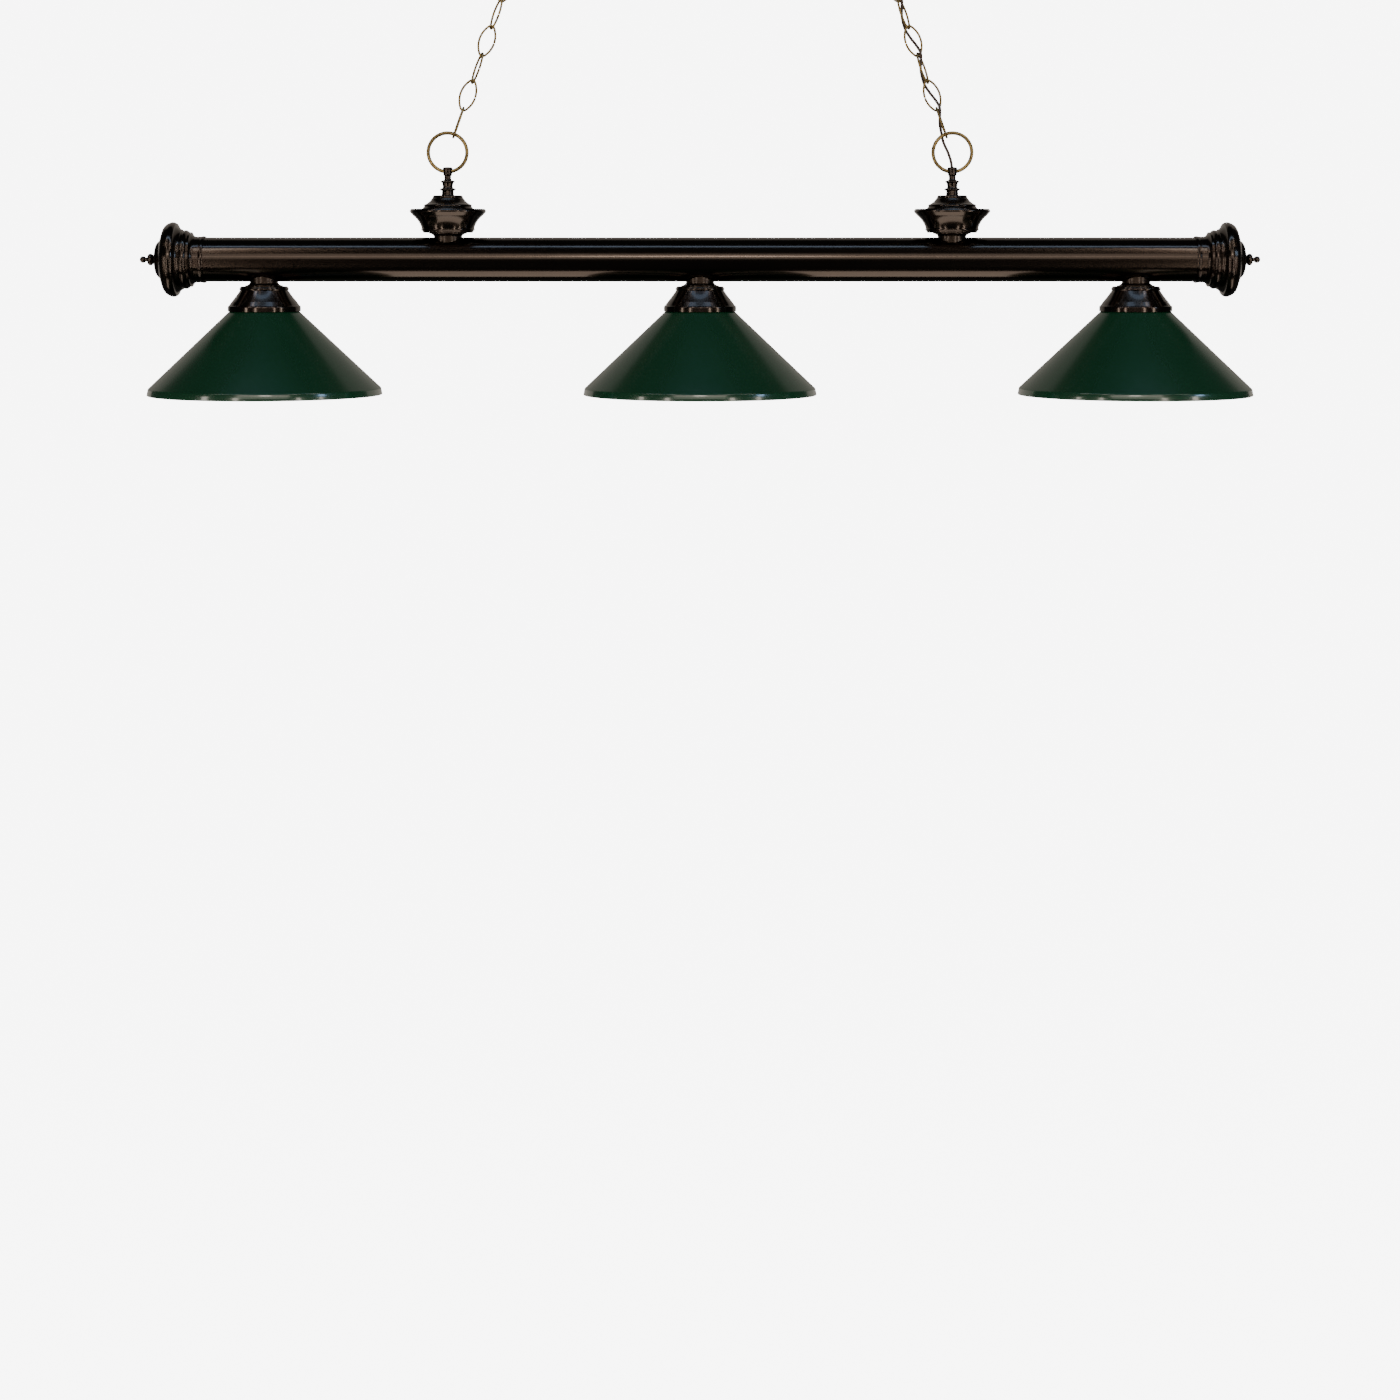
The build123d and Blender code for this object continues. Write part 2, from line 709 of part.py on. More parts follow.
for name, x in SHADES.items():
    keep(spun(FITTER_CUP_OUTLINE, upright(x), Side.RIGHT), f"fitter_cup_{name}")
    keep(turned(SOCKET_OUTLINE, upright(x)), f"socket_{name}")
    keep(spun(SHADE_OUTLINE, upright(x), Side.RIGHT, SHADE_WALL), f"shade_{name}")
    keep(make_shade_ring(x), f"shade_ring_{name}")
    keep(make_bulb_base(x), f"bulb_base_{name}")
    keep(make_bulb_glass(x), f"bulb_glass_{name}")
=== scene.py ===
import math

import bpy
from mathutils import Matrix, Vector


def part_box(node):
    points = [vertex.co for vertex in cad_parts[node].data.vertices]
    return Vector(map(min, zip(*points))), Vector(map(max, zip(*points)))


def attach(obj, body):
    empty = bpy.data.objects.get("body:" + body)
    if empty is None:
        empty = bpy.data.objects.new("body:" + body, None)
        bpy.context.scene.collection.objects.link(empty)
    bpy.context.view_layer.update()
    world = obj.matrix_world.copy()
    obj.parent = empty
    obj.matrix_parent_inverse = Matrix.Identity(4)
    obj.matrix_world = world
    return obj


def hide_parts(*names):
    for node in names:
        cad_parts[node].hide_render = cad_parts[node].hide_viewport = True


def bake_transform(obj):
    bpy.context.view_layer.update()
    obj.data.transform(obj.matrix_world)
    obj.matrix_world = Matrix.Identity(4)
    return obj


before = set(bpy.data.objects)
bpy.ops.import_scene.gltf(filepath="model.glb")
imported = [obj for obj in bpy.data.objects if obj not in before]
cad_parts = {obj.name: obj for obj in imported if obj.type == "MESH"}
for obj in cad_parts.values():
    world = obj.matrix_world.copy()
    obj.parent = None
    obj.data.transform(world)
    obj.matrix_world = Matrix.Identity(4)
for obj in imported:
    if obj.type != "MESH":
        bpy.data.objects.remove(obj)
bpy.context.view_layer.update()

SIDES = ("left", "right")
BAYS = ("left", "centre", "right")
LINKS = 6                       # in each chain


def middle(node):
    low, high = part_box(node)
    return (low + high) / 2


def tenths(length):
    """A length from the frame, to the nearest tenth of a millimetre."""
    return round(length, 4)


# metres, in the frame: heights from the ceiling, drops from the bar's axis
shade_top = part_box("shade_centre")[1]
BAR_HEIGHT = tenths(middle("tube").z)
COLLAR_DROP = tenths(BAR_HEIGHT - shade_top.z)      # the shade's flat top, clamped under its holder
LIP_DROP = 0.1662                                   # where the shade's cone meets its lip
RIM_DROP = 0.1738                                   # the lip's lower edge
RIM_RADIUS = tenths(shade_top.x)


# ---------------------------------------------------------------- node helpers

QUARTER_TURN = 0.25


class Shader:
    """A principled material with short calls for the nodes that feed it."""

    def __init__(self, name):
        self.material = bpy.data.materials.new(name)
        self.material.use_nodes = True
        self.tree = self.material.node_tree
        self.surface = self.tree.nodes["Principled BSDF"]

    def add(self, kind, **settings):
        node = self.tree.nodes.new(kind)
        for key, value in settings.items():
            setattr(node, key, value)
        return node

    def join(self, source, socket):
        self.tree.links.new(source, socket)

    def feed(self, socket, value):
        """Links a socket to another node's output, or sets it to a constant."""
        if isinstance(value, bpy.types.NodeSocket):
            self.join(value, socket)
        else:
            socket.default_value = value

    def set(self, **values):
        """Feeds the surface's inputs, named with underscores for spaces."""
        for key, value in values.items():
            self.feed(self.surface.inputs[key.replace("_", " ")], value)

    def maths(self, operation, first, second=0.0):
        node = self.add("ShaderNodeMath", operation=operation)
        self.feed(node.inputs[0], first)
        self.feed(node.inputs[1], second)
        return node.outputs[0]

    def scaled(self, value, factor):
        return self.maths("MULTIPLY", value, factor)

    def shared(self, first, second, share):
        """The sum of two values, of which the first has this share and the second the rest."""
        return self.maths("ADD", self.scaled(first, share), self.scaled(second, 1.0 - share))

    def vector(self, operation, first, second):
        node = self.add("ShaderNodeVectorMath", operation=operation)
        self.feed(node.inputs[0], first)
        self.feed(node.inputs[1], second)
        return node.outputs["Value" if operation == "DOT_PRODUCT" else "Vector"]

    def pack(self, x, y, z):
        node = self.add("ShaderNodeCombineXYZ")
        for socket, value in zip(node.inputs, (x, y, z)):
            self.feed(socket, value)
        return node.outputs[0]

    def parts(self, place):
        """The x, y and z of a vector."""
        node = self.add("ShaderNodeSeparateXYZ")
        self.join(place, node.inputs[0])
        return node.outputs

    def place(self, centre=(0, 0, 0)):
        """Position in the piece's own space, measured from centre."""
        position = self.add("ShaderNodeTexCoord").outputs["Object"]
        return self.vector("SUBTRACT", position, centre)

    def noise(self, where, scale, detail=3.0, roughness=0.5, distortion=0.0):
        node = self.add("ShaderNodeTexNoise")
        self.join(where, node.inputs["Vector"])
        node.inputs["Scale"].default_value = scale
        node.inputs["Detail"].default_value = detail
        node.inputs["Roughness"].default_value = roughness
        node.inputs["Distortion"].default_value = distortion
        return node.outputs["Fac"]

    def ranged(self, value, low, high, to_low=0.0, to_high=1.0):
        """Maps low to high on to to_low to to_high, and holds the value at those ends."""
        node = self.add("ShaderNodeMapRange")
        for socket, number in zip(node.inputs, (value, low, high, to_low, to_high)):
            self.feed(socket, number)
        return node.outputs[0]

    def mixed(self, amount, first, second):
        """A colour between the first, at 0, and the second, at 1."""
        node = self.add("ShaderNodeMix", data_type="RGBA")
        first_colour, second_colour = node.inputs[6], node.inputs[7]
        self.feed(node.inputs["Factor"], amount)
        self.feed(first_colour, first)
        self.feed(second_colour, second)
        return node.outputs[2]

    def bump(self, height, strength, distance):
        node = self.add("ShaderNodeBump")
        node.inputs["Strength"].default_value = strength
        node.inputs["Distance"].default_value = distance
        self.join(height, node.inputs["Height"])
        self.join(node.outputs[0], self.surface.inputs["Normal"])

    def edges(self, radius):
        """1 along edges sharper than radius, 0 on open faces."""
        soft = self.add("ShaderNodeBevel", samples=4)
        soft.inputs["Radius"].default_value = radius
        flat = self.add("ShaderNodeNewGeometry").outputs["Normal"]
        cosine = self.vector("DOT_PRODUCT", soft.outputs[0], flat)
        return self.ranged(cosine, 0.94, 0.75)

    def grain_about(self, axis, strength):
        """Stretches reflections across brush marks that run round the axis."""
        tangent = self.add("ShaderNodeTangent", direction_type="RADIAL", axis=axis)
        self.join(tangent.outputs[0], self.surface.inputs["Tangent"])
        self.set(Anisotropic=strength, Anisotropic_Rotation=QUARTER_TURN)


def colour(red, green, blue):
    return (red, green, blue, 1.0)


# ---------------------------------------------------------------- materials

BRONZE_DARK = colour(0.034, 0.025, 0.020)
BRONZE_MID = colour(0.052, 0.038, 0.030)
BRONZE_WORN = colour(0.16, 0.115, 0.085)
BRONZE_WEAR = 0.0004            # width of the rubbed edges, metres
BRUSH_SHARE = 0.6               # of fine marks among all brush marks

# how often brush marks change: per metre out from the axis, per metre along it and per radian round it
TURNED_FINE = (700.0, 700.0, 0.9)
TURNED_BROAD = (220.0, 220.0, 0.6)

# the same on the tube, without the first, and the depth of the noise that they are cut from
TUBE_FINE, TUBE_FINE_DEPTH = (1500.0, 1.1), 0.0
TUBE_BROAD, TUBE_BROAD_DEPTH = (2.0, 30.0), 3.7


def spun(shader, axis, centre):
    """A turned piece's coordinates: its place, then how far out from the axis, along it and round it."""
    place = shader.place(centre)
    x, y, z = shader.parts(place)
    along, across, up = (z, x, y) if axis == "Z" else (x, y, z)
    squares = shader.maths("ADD", shader.maths("POWER", across, 2.0), shader.maths("POWER", up, 2.0))
    return place, shader.maths("SQRT", squares), along, shader.maths("ARCTAN2", up, across)


def bronze_finish(shader, lines, place, roughness):
    """Dark bronze plate under lacquer: brush marks, a cloudy patina and rubbed edges."""
    cloud = shader.noise(place, scale=38.0, detail=4.0, roughness=0.55)
    base = shader.mixed(shader.ranged(shader.shared(lines, cloud, 0.8), 0.25, 0.75), BRONZE_DARK, BRONZE_MID)
    patches = shader.ranged(cloud, 0.35, 0.65, 0.25, 0.8)
    rubbed = shader.maths("MULTIPLY", shader.edges(BRONZE_WEAR), patches)
    brushed = shader.ranged(lines, 0.25, 0.75, roughness, roughness + 0.04)
    shader.set(Base_Color=shader.mixed(rubbed, base, BRONZE_WORN), Metallic=1.0)
    shader.set(Roughness=shader.maths("ADD", brushed, shader.scaled(cloud, 0.02)))
    shader.set(Coat_Weight=0.30, Coat_Roughness=0.09, Coat_IOR=1.45)
    shader.bump(lines, strength=0.01, distance=0.0001)


def turned_bronze(name, centre, axis="Z"):
    """Bronze polished in a lathe, so its brush marks run round the axis."""
    shader = Shader(name)
    place, *turned = spun(shader, axis, centre)
    fine, broad = (
        shader.noise(shader.pack(*map(shader.scaled, turned, rates)), scale=1.0, detail=2.0)
        for rates in (TURNED_FINE, TURNED_BROAD)
    )
    bronze_finish(shader, shader.shared(fine, broad, BRUSH_SHARE), place, roughness=0.18)
    shader.grain_about(axis, 0.65)
    return shader.material


def tube_bronze():
    """The tube's bronze: fine brush marks round it, over broad bands along its length."""
    shader = Shader("bronze_tube")
    place, _, *turned = spun(shader, "X", (0, 0, BAR_HEIGHT))
    fine, broad = (
        shader.noise(shader.pack(*map(shader.scaled, turned, rates), depth), scale=1.0, detail=detail)
        for rates, depth, detail in ((TUBE_FINE, TUBE_FINE_DEPTH, 3.0), (TUBE_BROAD, TUBE_BROAD_DEPTH, 2.0))
    )
    bronze_finish(shader, shader.shared(fine, broad, BRUSH_SHARE), place, roughness=0.15)
    shader.grain_about("X", 0.30)
    return shader.material


def plain_bronze():
    """The same plate on small cast pieces, polished without a grain."""
    shader = Shader("bronze_collars")
    place = shader.place()
    bronze_finish(shader, shader.noise(place, scale=260.0), place, roughness=0.30)
    return shader.material


def antique_brass():
    """Drawn brass wire under patchy brown age, duller where it is brown."""
    shader = Shader("antique_brass")
    place = shader.place()
    stain = shader.noise(place, scale=210.0, detail=4.0, roughness=0.6, distortion=0.4)
    cloud = shader.noise(place, scale=60.0)
    bright = shader.ranged(shader.shared(stain, cloud, 0.6), 0.36, 0.62)
    base = shader.mixed(bright, colour(0.15, 0.105, 0.045), colour(0.32, 0.225, 0.092))
    shader.set(Base_Color=base, Metallic=1.0, Roughness=shader.ranged(bright, 0.0, 1.0, 0.40, 0.28))
    shader.set(Coat_Weight=0.1, Coat_Roughness=0.2)
    shader.bump(shader.noise(place, scale=900.0, detail=2.0), strength=0.04, distance=0.0003)
    return shader.material


def enamel(name, base, deep, roughness):
    """Baked enamel on spun steel: a little orange peel, and a glossier coat on the lip."""
    shader = Shader(name)
    place = shader.place()
    height = shader.parts(place)[2]
    lip_top = BAR_HEIGHT - LIP_DROP
    lip = shader.ranged(height, lip_top, lip_top - 0.001)
    peel = shader.noise(place, scale=420.0, detail=2.0, roughness=0.45)
    cloud = shader.noise(place, scale=16.0)
    shader.set(Base_Color=shader.mixed(shader.ranged(cloud, 0.1, 0.9), deep, base))
    shader.set(Roughness=shader.ranged(cloud, 0.1, 0.9, roughness - 0.02, roughness + 0.03))
    shader.set(Specular_IOR_Level=0.45, Coat_Weight=lip, Coat_Roughness=0.10)
    shader.bump(peel, strength=0.05, distance=0.0003)
    return shader.material


def plated_steel():
    """Bright zinc with the faint crystal pattern of plating."""
    shader = Shader("zinc_steel")
    place = shader.place()
    cells = shader.add("ShaderNodeTexVoronoi")
    cells.inputs["Scale"].default_value = 160.0
    shader.join(place, cells.inputs["Vector"])
    tone = shader.ranged(cells.outputs["Color"], 0.0, 1.0)
    shader.set(Base_Color=shader.mixed(tone, colour(0.42, 0.43, 0.42), colour(0.66, 0.66, 0.63)))
    haze = shader.noise(place, scale=300.0)
    shader.set(Roughness=shader.ranged(haze, 0.3, 0.7, 0.28, 0.46), Metallic=1.0)
    shader.bump(shader.noise(place, scale=700.0), strength=0.08, distance=0.0002)
    return shader.material


def bright_brass():
    """Pressed brass of the lampholder shell and the bulb cap."""
    shader = Shader("bright_brass")
    place = shader.place()
    dull = shader.noise(place, scale=120.0)
    base = shader.mixed(shader.ranged(dull, 0.35, 0.7), colour(0.80, 0.62, 0.30), colour(0.55, 0.40, 0.19))
    shader.set(Base_Color=base, Metallic=1.0, Roughness=shader.ranged(dull, 0.3, 0.7, 0.20, 0.36))
    shader.bump(shader.noise(place, scale=600.0), strength=0.06, distance=0.0002)
    return shader.material


def moulded(name, base, light, roughness, grain=500.0):
    """Moulded plastic: a fine grain, a slight mottle and paler edges."""
    shader = Shader(name)
    place = shader.place()
    mottle = shader.noise(place, scale=90.0)
    tone = shader.mixed(shader.ranged(mottle, 0.35, 0.65), base, light)
    paler = colour(*(min(1.0, 2.2 * part + 0.01) for part in light[:3]))
    shader.set(Base_Color=shader.mixed(shader.scaled(shader.edges(0.0005), 0.35), tone, paler))
    shader.set(Roughness=shader.ranged(mottle, 0.3, 0.7, roughness, roughness + 0.08))
    shader.bump(shader.noise(place, scale=grain, detail=2.0), strength=0.15, distance=0.0003)
    return shader.material


def bulb_frost():
    """Glass frosted on its inside: milky, with a smooth outer face."""
    shader = Shader("bulb_frost")
    place = shader.place()
    haze = shader.noise(place, scale=70.0)
    base = shader.mixed(shader.ranged(haze, 0.3, 0.7), colour(0.86, 0.86, 0.83), colour(0.93, 0.93, 0.90))
    shader.set(Base_Color=base, Roughness=shader.ranged(haze, 0.3, 0.7, 0.30, 0.36))
    shader.set(Coat_Weight=1.0, Coat_Roughness=0.04)
    shader.set(Subsurface_Weight=0.25, Subsurface_Scale=0.004, Subsurface_Radius=(1.0, 0.9, 0.8))
    shader.bump(haze, strength=0.03, distance=0.0005)
    return shader.material


BRASS_METAL = antique_brass()
GREEN = enamel("enamel_green", colour(0.0040, 0.0345, 0.0150), colour(0.0036, 0.0310, 0.0135), 0.24)
WHITE = enamel("enamel_white", colour(0.84, 0.83, 0.79), colour(0.78, 0.77, 0.73), 0.42)
ZINC = plated_steel()
YELLOW_BRASS = bright_brass()
BLACK_PLASTIC = moulded("phenolic_black", colour(0.010, 0.009, 0.009), colour(0.022, 0.020, 0.019), 0.38)
CORD_PLASTIC = moulded("cord_brown", colour(0.020, 0.011, 0.006), colour(0.042, 0.024, 0.013), 0.40, 900.0)
WIRE_PLASTIC = moulded("wire_black", colour(0.018, 0.018, 0.018), colour(0.030, 0.030, 0.030), 0.35)
NUT_PLASTIC = moulded("connector_orange", colour(0.62, 0.20, 0.02), colour(0.78, 0.29, 0.04), 0.45)
FROST = bulb_frost()


# ---------------------------------------------------------------- finishes of the CAD pieces

def dress(material, *nodes):
    """Gives CAD nodes their finish."""
    for node in nodes:
        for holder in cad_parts[node].material_slots:
            holder.link = "OBJECT"
            holder.material = material


def upright_bronze(name, node):
    """Bronze turned about the upright axis through a node's middle."""
    return turned_bronze(name, (middle(node).x, 0, 0))


dress(tube_bronze(), "tube")
dress(plain_bronze(), "neck_collars")
for side in SIDES:
    hanger_bronze = upright_bronze(f"bronze_hanger_{side}", f"hanger_cup_{side}")
    dress(hanger_bronze, f"hanger_cup_{side}", f"hanger_cone_{side}", f"hanger_post_{side}")
    cap_bronze = turned_bronze(f"bronze_cap_{side}", (0, 0, BAR_HEIGHT), "X")
    dress(cap_bronze, f"end_cap_{side}", f"finial_{side}")
    canopy = f"ceiling_canopy_{side}"
    dress(upright_bronze(f"bronze_canopy_{side}", canopy), canopy)
    dress(BRASS_METAL, f"canopy_loop_{side}", f"hanger_ring_{side}")
    dress(BRASS_METAL, *(f"chain_link_{side}_{number}" for number in range(1, LINKS + 1)))
    dress(ZINC, f"end_bracket_{side}")
for bay in BAYS:
    cup = f"fitter_cup_{bay}"
    dress(upright_bronze(f"bronze_fitter_{bay}", cup), cup)
    dress(BLACK_PLASTIC, f"socket_{bay}", f"shade_ring_{bay}")
    dress(YELLOW_BRASS, f"bulb_base_{bay}")
    dress(FROST, f"bulb_glass_{bay}")
dress(YELLOW_BRASS, "socket_shells")
dress(ZINC, "bar_nipples", "bar_locknuts", "mounting_straps", "canopy_nipples", "canopy_locknuts")
dress(WIRE_PLASTIC, "tube_wires")
dress(NUT_PLASTIC, "wire_nuts")


# ---------------------------------------------------------------- mesh helpers

LATHE_SIDES = 180
ARC_STEPS = 6


def build(name, points, faces, materials, indices=None):
    """A smooth mesh object; indices gives each face its material."""
    mesh = bpy.data.meshes.new(name)
    mesh.from_pydata(points, [], faces)
    for material in materials:
        mesh.materials.append(material)
    if indices:
        mesh.polygons.foreach_set("material_index", indices)
    mesh.polygons.foreach_set("use_smooth", [True] * len(faces))
    mesh.update()
    piece = bpy.data.objects.new(name, mesh)
    bpy.context.scene.collection.objects.link(piece)
    return piece


def rounded(corners):
    """A polyline through (r, h, radius) corners, each rounded by an arc of that radius, or sharp at 0."""
    line = []
    for number, (r, h, radius) in enumerate(corners):
        here = Vector((r, h))
        if radius == 0:
            line.append(here)
            continue
        before = (Vector(corners[number - 1][:2]) - here).normalized()
        after = (Vector(corners[number + 1][:2]) - here).normalized()
        half = before.angle(after) / 2
        reach = radius / math.tan(half)
        start, end = here + before * reach, here + after * reach
        hub = here + (before + after).normalized() * (radius / math.sin(half))
        for step in range(ARC_STEPS + 1):
            spoke = start.lerp(end, step / ARC_STEPS) - hub
            line.append(hub + spoke.normalized() * radius)
    return line


def lathe(name, centre, profile, bands, materials):
    """Turns (r, h) points about the vertical axis; bands gives each span's material."""
    points, faces, indices = [], [], []
    for r, h in profile:
        for turn in range(LATHE_SIDES):
            angle = 2 * math.pi * turn / LATHE_SIDES
            points.append((centre[0] + r * math.cos(angle), centre[1] + r * math.sin(angle), centre[2] + h))
    for ring in range(len(profile) - 1):
        for turn in range(LATHE_SIDES):
            a = ring * LATHE_SIDES + turn
            b = ring * LATHE_SIDES + (turn + 1) % LATHE_SIDES
            faces.append((a, a + LATHE_SIDES, b + LATHE_SIDES, b))
            indices.append(bands[ring])
    return build(name, points, faces, materials, indices)


# ---------------------------------------------------------------- shades

SHADE_WALL = 0.0009
HEM_RADIUS = 0.0011
HEM_STEPS = 11
HOLE_RADIUS = 0.0206            # in the flat top, for the lampholder
CONE_TOP_RADIUS, CONE_FOOT_RADIUS = 0.0290, 0.1494

# the outer skin's corners: radius, height from the bar's axis and rounding
SHADE_OUTER = [
    (HOLE_RADIUS, -COLLAR_DROP, 0), (CONE_TOP_RADIUS, -COLLAR_DROP, 0.0022),
    (CONE_FOOT_RADIUS, -LIP_DROP, 0.0030), (RIM_RADIUS, -RIM_DROP, 0),
]


def offset_inwards(outer):
    """The line's points moved by the wall's thickness to its inner side."""
    inner = []
    for number, point in enumerate(outer):
        before = outer[max(number - 1, 0)]
        after = outer[min(number + 1, len(outer) - 1)]
        run = (after - before).normalized()
        inner.append(point + Vector((run.y, -run.x)) * SHADE_WALL)
    return inner


def rolled_hem():
    """A half turn under the rim, from the outer skin to the inner one."""
    hub = Vector((RIM_RADIUS - HEM_RADIUS, -RIM_DROP))
    angles = [-math.pi * step / HEM_STEPS for step in range(1, HEM_STEPS + 1)]
    return [hub + Vector((math.cos(angle), math.sin(angle))) * HEM_RADIUS for angle in angles]


def make_shade(bay):
    """A spun cone with green enamel outside, white inside and a small rolled hem at the rim."""
    outer = rounded(SHADE_OUTER)
    hem = rolled_hem()
    inner = offset_inwards(outer)
    profile = outer + hem + inner[::-1]
    bands = [0] * (len(outer) + len(hem) - 2) + [1] * (len(inner) + 1)
    place = middle(f"shade_{bay}")
    shade = lathe(f"shade_skin_{bay}", (place.x, place.y, BAR_HEIGHT), profile, bands, [GREEN, WHITE])
    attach(shade, f"shade_{bay}")
    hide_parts(f"shade_{bay}")


for bay in BAYS:
    make_shade(bay)


# ---------------------------------------------------------------- power cord

CORD_RADIUS = 0.0019
CORD_SIDES = 20
GROOVE_DEPTH = 0.10             # as a share of the radius
GROOVE_START = 0.75             # the groove is where the cosine of the angle is above this
CORE_SHARE = 0.8                # of the radius, for the short core that fills the bend at the first joint
CORE_REACH = 4                  # points of the line that the core runs on either side of that joint

CORD_ROUTE = [
    (0.3250, 0.0000, -0.3340), (0.3250, 0.0000, -0.3140), (0.3205, 0.0020, -0.2980),
    (0.3135, 0.0056, -0.2835), (0.3120, 0.0056, -0.2749), (0.3083, 0.0008, -0.2603),
    (0.3085, -0.0012, -0.2496), (0.3085, -0.0050, -0.2385), (0.3022, -0.0022, -0.2285),
    (0.2957, 0.0016, -0.2202), (0.2890, 0.0048, -0.2099), (0.2857, 0.0034, -0.2004),
    (0.2835, 0.0008, -0.1908), (0.2837, -0.0012, -0.1801), (0.2837, -0.0050, -0.1690),
    (0.2775, -0.0022, -0.1590), (0.2709, 0.0016, -0.1507), (0.2643, 0.0048, -0.1403),
    (0.2609, 0.0034, -0.1309), (0.2588, 0.0008, -0.1213), (0.2590, -0.0012, -0.1106),
    (0.2589, -0.0050, -0.0995), (0.2537, -0.0010, -0.0887), (0.2511, 0.0030, -0.0801),
    (0.2492, 0.0054, -0.0723), (0.2464, 0.0044, -0.0621), (0.2439, 0.0020, -0.0531),
    (0.2436, 0.0000, -0.0456), (0.2436, 0.0000, -0.0261),
]

# the ends of the straight line that the right chain hangs in
CHAIN_FOOT = Vector((0.317653, 0, -0.277162))
CHAIN_TOP = Vector((0.243552, 0, -0.069061))


def nurbs_line(route):
    """Points along the smooth NURBS curve that has the route as its control points."""
    data = bpy.data.curves.new("route", "CURVE")
    data.dimensions = "3D"
    data.resolution_u = 12
    spline = data.splines.new("NURBS")
    spline.points.add(len(route) - 1)
    for point, place in zip(spline.points, route):
        point.co = (*place, 1.0)
    spline.order_u = 3
    spline.use_endpoint_u = True
    holder = bpy.data.objects.new("route", data)
    bpy.context.scene.collection.objects.link(holder)
    graph = bpy.context.evaluated_depsgraph_get()
    line = bpy.data.meshes.new_from_object(holder.evaluated_get(graph))
    points = [vertex.co.copy() for vertex in line.vertices]
    bpy.data.objects.remove(holder)
    bpy.data.meshes.remove(line)
    return points


def carried_frames(points):
    """The line's direction at each point, and a sideways vector carried along it without twist."""
    last = len(points) - 1
    runs = [(points[min(k + 1, last)] - points[max(k - 1, 0)]).normalized() for k in range(len(points))]
    side = Vector((0, 1, 0))
    sides = []
    for run in runs:
        side = (side - run * side.dot(run)).normalized()
        sides.append(side.copy())
    return runs, sides


def cord_piece(name, points, runs, sides, thin=1.0):
    """A length of two-core cord: round, with a shallow groove down each side."""
    corners, faces = [], []
    for point, run, side in zip(points, runs, sides):
        other = run.cross(side)
        for corner in range(CORD_SIDES):
            angle = 2 * math.pi * corner / CORD_SIDES
            hollow = GROOVE_DEPTH * max(0.0, abs(math.cos(angle)) - GROOVE_START) / (1.0 - GROOVE_START)
            spoke = side * math.cos(angle) + other * math.sin(angle)
            corners.append(tuple(point + spoke * CORD_RADIUS * (1.0 - hollow) * thin))
    for ring in range(len(points) - 1):
        for corner in range(CORD_SIDES):
            a = ring * CORD_SIDES + corner
            b = ring * CORD_SIDES + (corner + 1) % CORD_SIDES
            faces.append((a, b, b + CORD_SIDES, a + CORD_SIDES))
    piece = build(name, corners, faces, [CORD_PLASTIC])
    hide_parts("power_cord")
    return piece


def make_cord():
    """Lengths of one cord: a lead and a thinner core on the bar, then one length for each link."""
    points = nurbs_line(CORD_ROUTE)
    runs, sides = carried_frames(points)
    pitch = (CHAIN_TOP - CHAIN_FOOT) / LINKS
    joints = [CHAIN_FOOT + pitch * number for number in range(LINKS + 1)]

    def reached(place):
        """The first point of the line beyond a place along the chain."""
        return next(number for number, point in enumerate(points) if (point - place).dot(pitch) > 0)

    first = reached(CHAIN_FOOT)
    cuts = [first] + [reached(joints[n] + pitch / 2) for n in range(1, LINKS)] + [len(points) - 1]
    lead = slice(0, first + 1)
    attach(cord_piece("cord_lead", points[lead], runs[lead], sides[lead]), "bar")
    core = slice(first - CORE_REACH, first + CORE_REACH + 1)
    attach(cord_piece("cord_core", points[core], runs[core], sides[core], CORE_SHARE), "bar")
    for number in range(1, LINKS + 1):
        span = slice(cuts[number - 1], cuts[number] + 1)
        piece = cord_piece(f"cord_span_{number}", points[span], runs[span], sides[span])
        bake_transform(piece)


make_cord()


# ---------------------------------------------------------------- studio

FLOOR_HEIGHT = -2.40
FLOOR_REACH = 60.0
CAMERA_BACK = 3.60
CAMERA_HEIGHT = -0.405
CAMERA_LENS = 71.6              # millimetres, on a sensor 36 mm wide
CAMERA_SENSOR = 36.0
CAMERA_SHIFT = -0.20
CAMERA_DOWN = 3.76              # degrees
BACKGROUND = 7.5                # strength of the floor and the surroundings as the camera sees them
FLOOR_GLOW = 0.35               # strength of the floor's own light on the lamp
SURROUND = 0.03                 # and of the surroundings'

WHITE_LIGHT = (1.0, 1.0, 1.0)
WARM = (1.0, 0.91, 0.80)
COOL = (0.42, 0.66, 1.0)

# upright strips about the lamp, which draw streaks down its turned pieces; the gap between the two levels
# keeps them out of the shades' lips and the tube's main highlight
STRIP_DISTANCE = 2.6
STRIP_WIDTH = 0.22
STRIP_TURNS = (-58, -31, 31, 58)                                    # degrees from the front
STRIP_LEVELS = (("high", 2.30, 2.6, 15), ("low", -1.25, 2.2, 12))   # name, middle height, length, watts

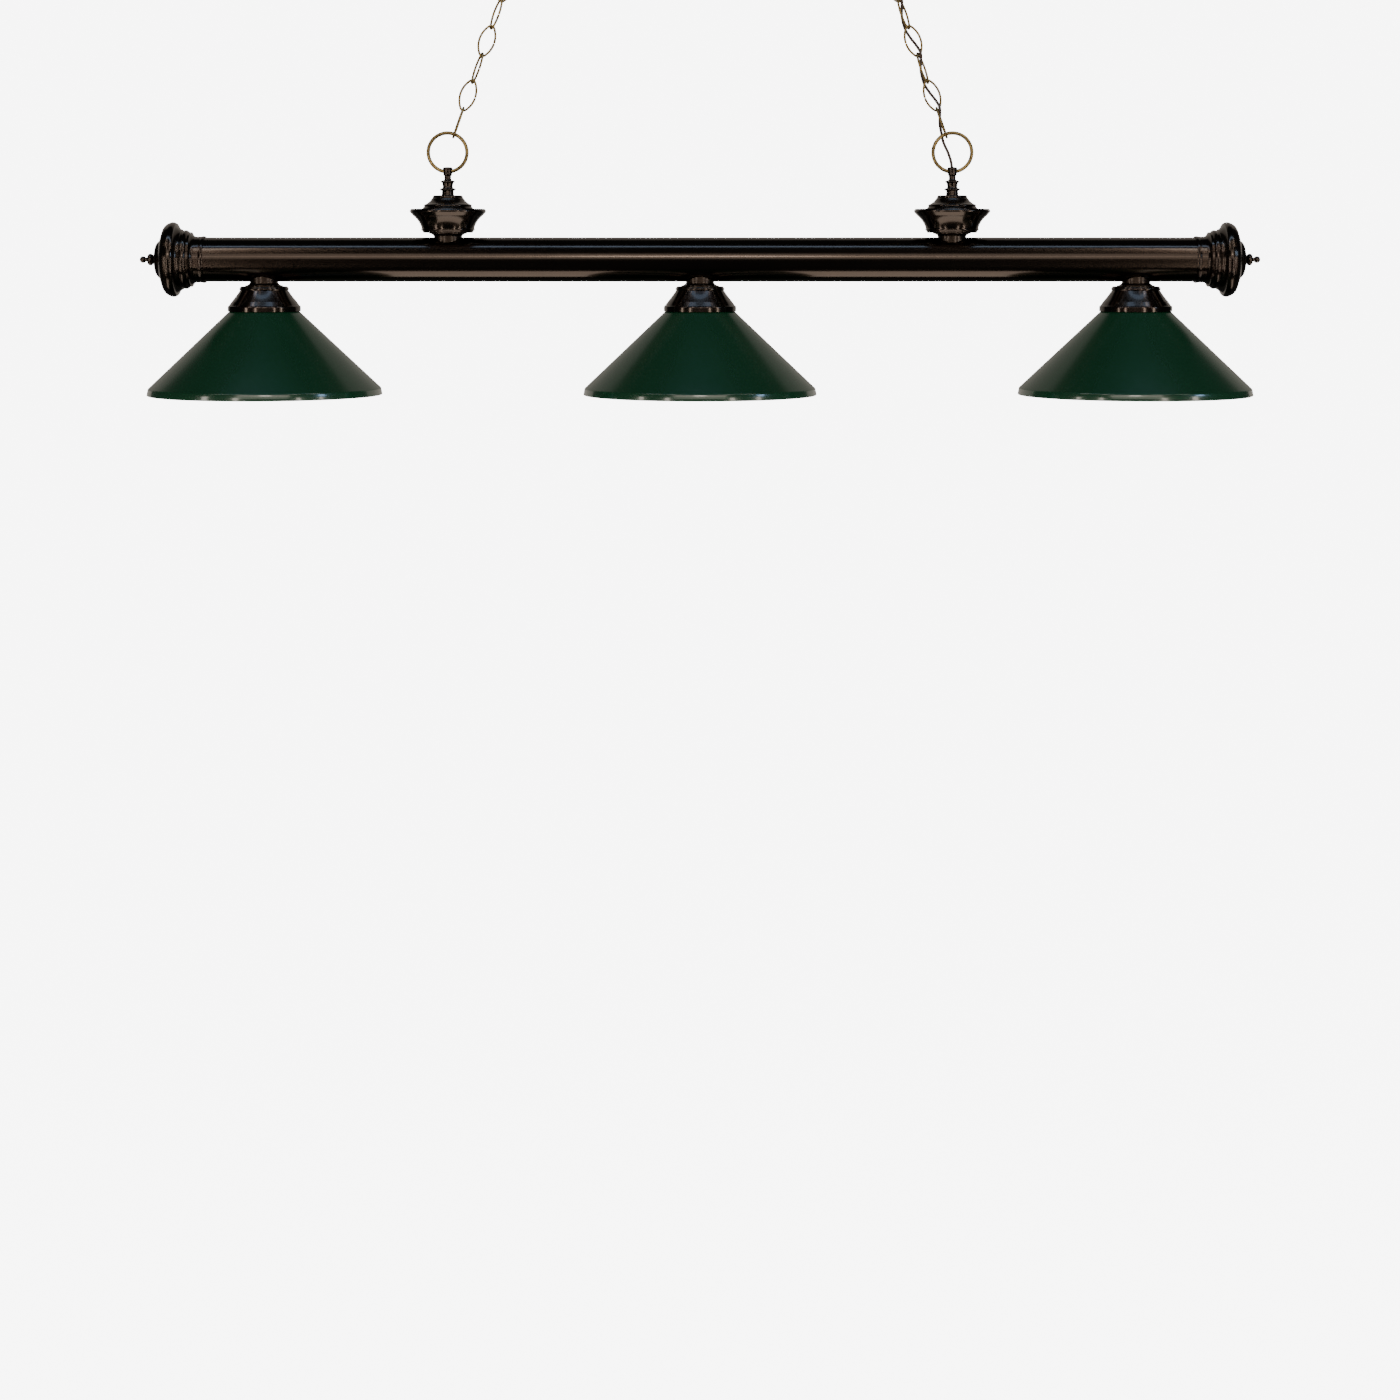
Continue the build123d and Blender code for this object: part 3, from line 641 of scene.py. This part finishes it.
# the other softboxes: place, aim, width, height, watts and tint
LAMP = (0, 0, BAR_HEIGHT)
SOFTBOXES = {
    "front": ((0, -3.9, 0.80), LAMP, 3.8, 1.9, 32, WARM),
    "core": ((0, -3.8, 0.66), LAMP, 3.8, 0.22, 6, WARM),
    "key": ((0, -3.7, 0.70), LAMP, 0.7, 0.30, 7, WARM),
    "overhead": ((0, -0.66, 1.5), LAMP, 3.4, 0.22, 10, COOL),
    "below": ((0, -0.28, -2.35), LAMP, 3.6, 1.3, 38, WARM),
    "window": ((3.3, -1.75, 0.45), (0, 0, -0.6), 0.5, 0.6, 10, COOL),
    "backdrop": ((0, 3.0, 1.3), (0, 0, 1.3), 7.0, 5.4, 46, WARM),
}


def make_floor():
    """A pale floor that glows white to the camera and lights the lamp only a little."""
    quarters = ((-1, -1), (1, -1), (1, 1), (-1, 1))
    corners = [(x * FLOOR_REACH, y * FLOOR_REACH, FLOOR_HEIGHT) for x, y in quarters]
    shader = Shader("floor_pale")
    shader.set(Base_Color=colour(0.8, 0.8, 0.8), Roughness=0.9, Emission_Color=colour(*WHITE_LIGHT))
    seen = shader.add("ShaderNodeLightPath").outputs["Is Camera Ray"]
    shader.set(Emission_Strength=shader.ranged(seen, 0.0, 1.0, FLOOR_GLOW, BACKGROUND))
    floor = build("floor", corners, [(0, 1, 2, 3)], [shader.material])
    floor.visible_glossy = False


def softbox(name, place, aim, width, height, power, tint):
    """A rectangular light that the camera doesn't see."""
    data = bpy.data.lights.new(name, "AREA")
    data.shape = "RECTANGLE"
    data.size = width
    data.size_y = height
    data.energy = power
    data.color = tint
    lamp = bpy.data.objects.new(name, data)
    lamp.location = place
    lamp.rotation_mode = "QUATERNION"
    lamp.rotation_quaternion = (Vector(aim) - Vector(place)).to_track_quat("-Z", "Y")
    lamp.visible_camera = False
    bpy.context.scene.collection.objects.link(lamp)


def make_strips():
    for number, degrees in enumerate(STRIP_TURNS):
        turn = math.radians(degrees)
        x, y = STRIP_DISTANCE * math.sin(turn), -STRIP_DISTANCE * math.cos(turn)
        for level, height, length, power in STRIP_LEVELS:
            place, aim = (x, y, height), (0, 0, height)
            softbox(f"strip_{level}_{number}", place, aim, STRIP_WIDTH, length, power, WARM)


def make_world():
    """Surroundings that are white to the camera and nearly dark to the lamp."""
    world = bpy.data.worlds.new("studio")
    world.use_nodes = True
    tree = world.node_tree
    back = tree.nodes["Background"]
    seen = tree.nodes.new("ShaderNodeLightPath")
    shown = tree.nodes.new("ShaderNodeMapRange")
    shown.inputs["To Min"].default_value = SURROUND
    shown.inputs["To Max"].default_value = BACKGROUND
    tree.links.new(seen.outputs["Is Camera Ray"], shown.inputs["Value"])
    tree.links.new(shown.outputs[0], back.inputs["Strength"])
    back.inputs["Color"].default_value = colour(*WHITE_LIGHT)
    bpy.context.scene.world = world


def make_camera():
    """A long lens in front of the lamp, just above the bar's height and tilted a little down."""
    data = bpy.data.cameras.new("camera")
    data.lens = CAMERA_LENS
    data.sensor_width = CAMERA_SENSOR
    data.shift_y = CAMERA_SHIFT
    camera = bpy.data.objects.new("camera", data)
    camera.location = (0.0, -CAMERA_BACK, CAMERA_HEIGHT)
    camera.rotation_euler = (math.radians(90 - CAMERA_DOWN), 0, 0)
    bpy.context.scene.collection.objects.link(camera)
    bpy.context.scene.camera = camera


make_floor()
make_world()
make_camera()
make_strips()
for name, settings in SOFTBOXES.items():
    softbox(name, *settings)
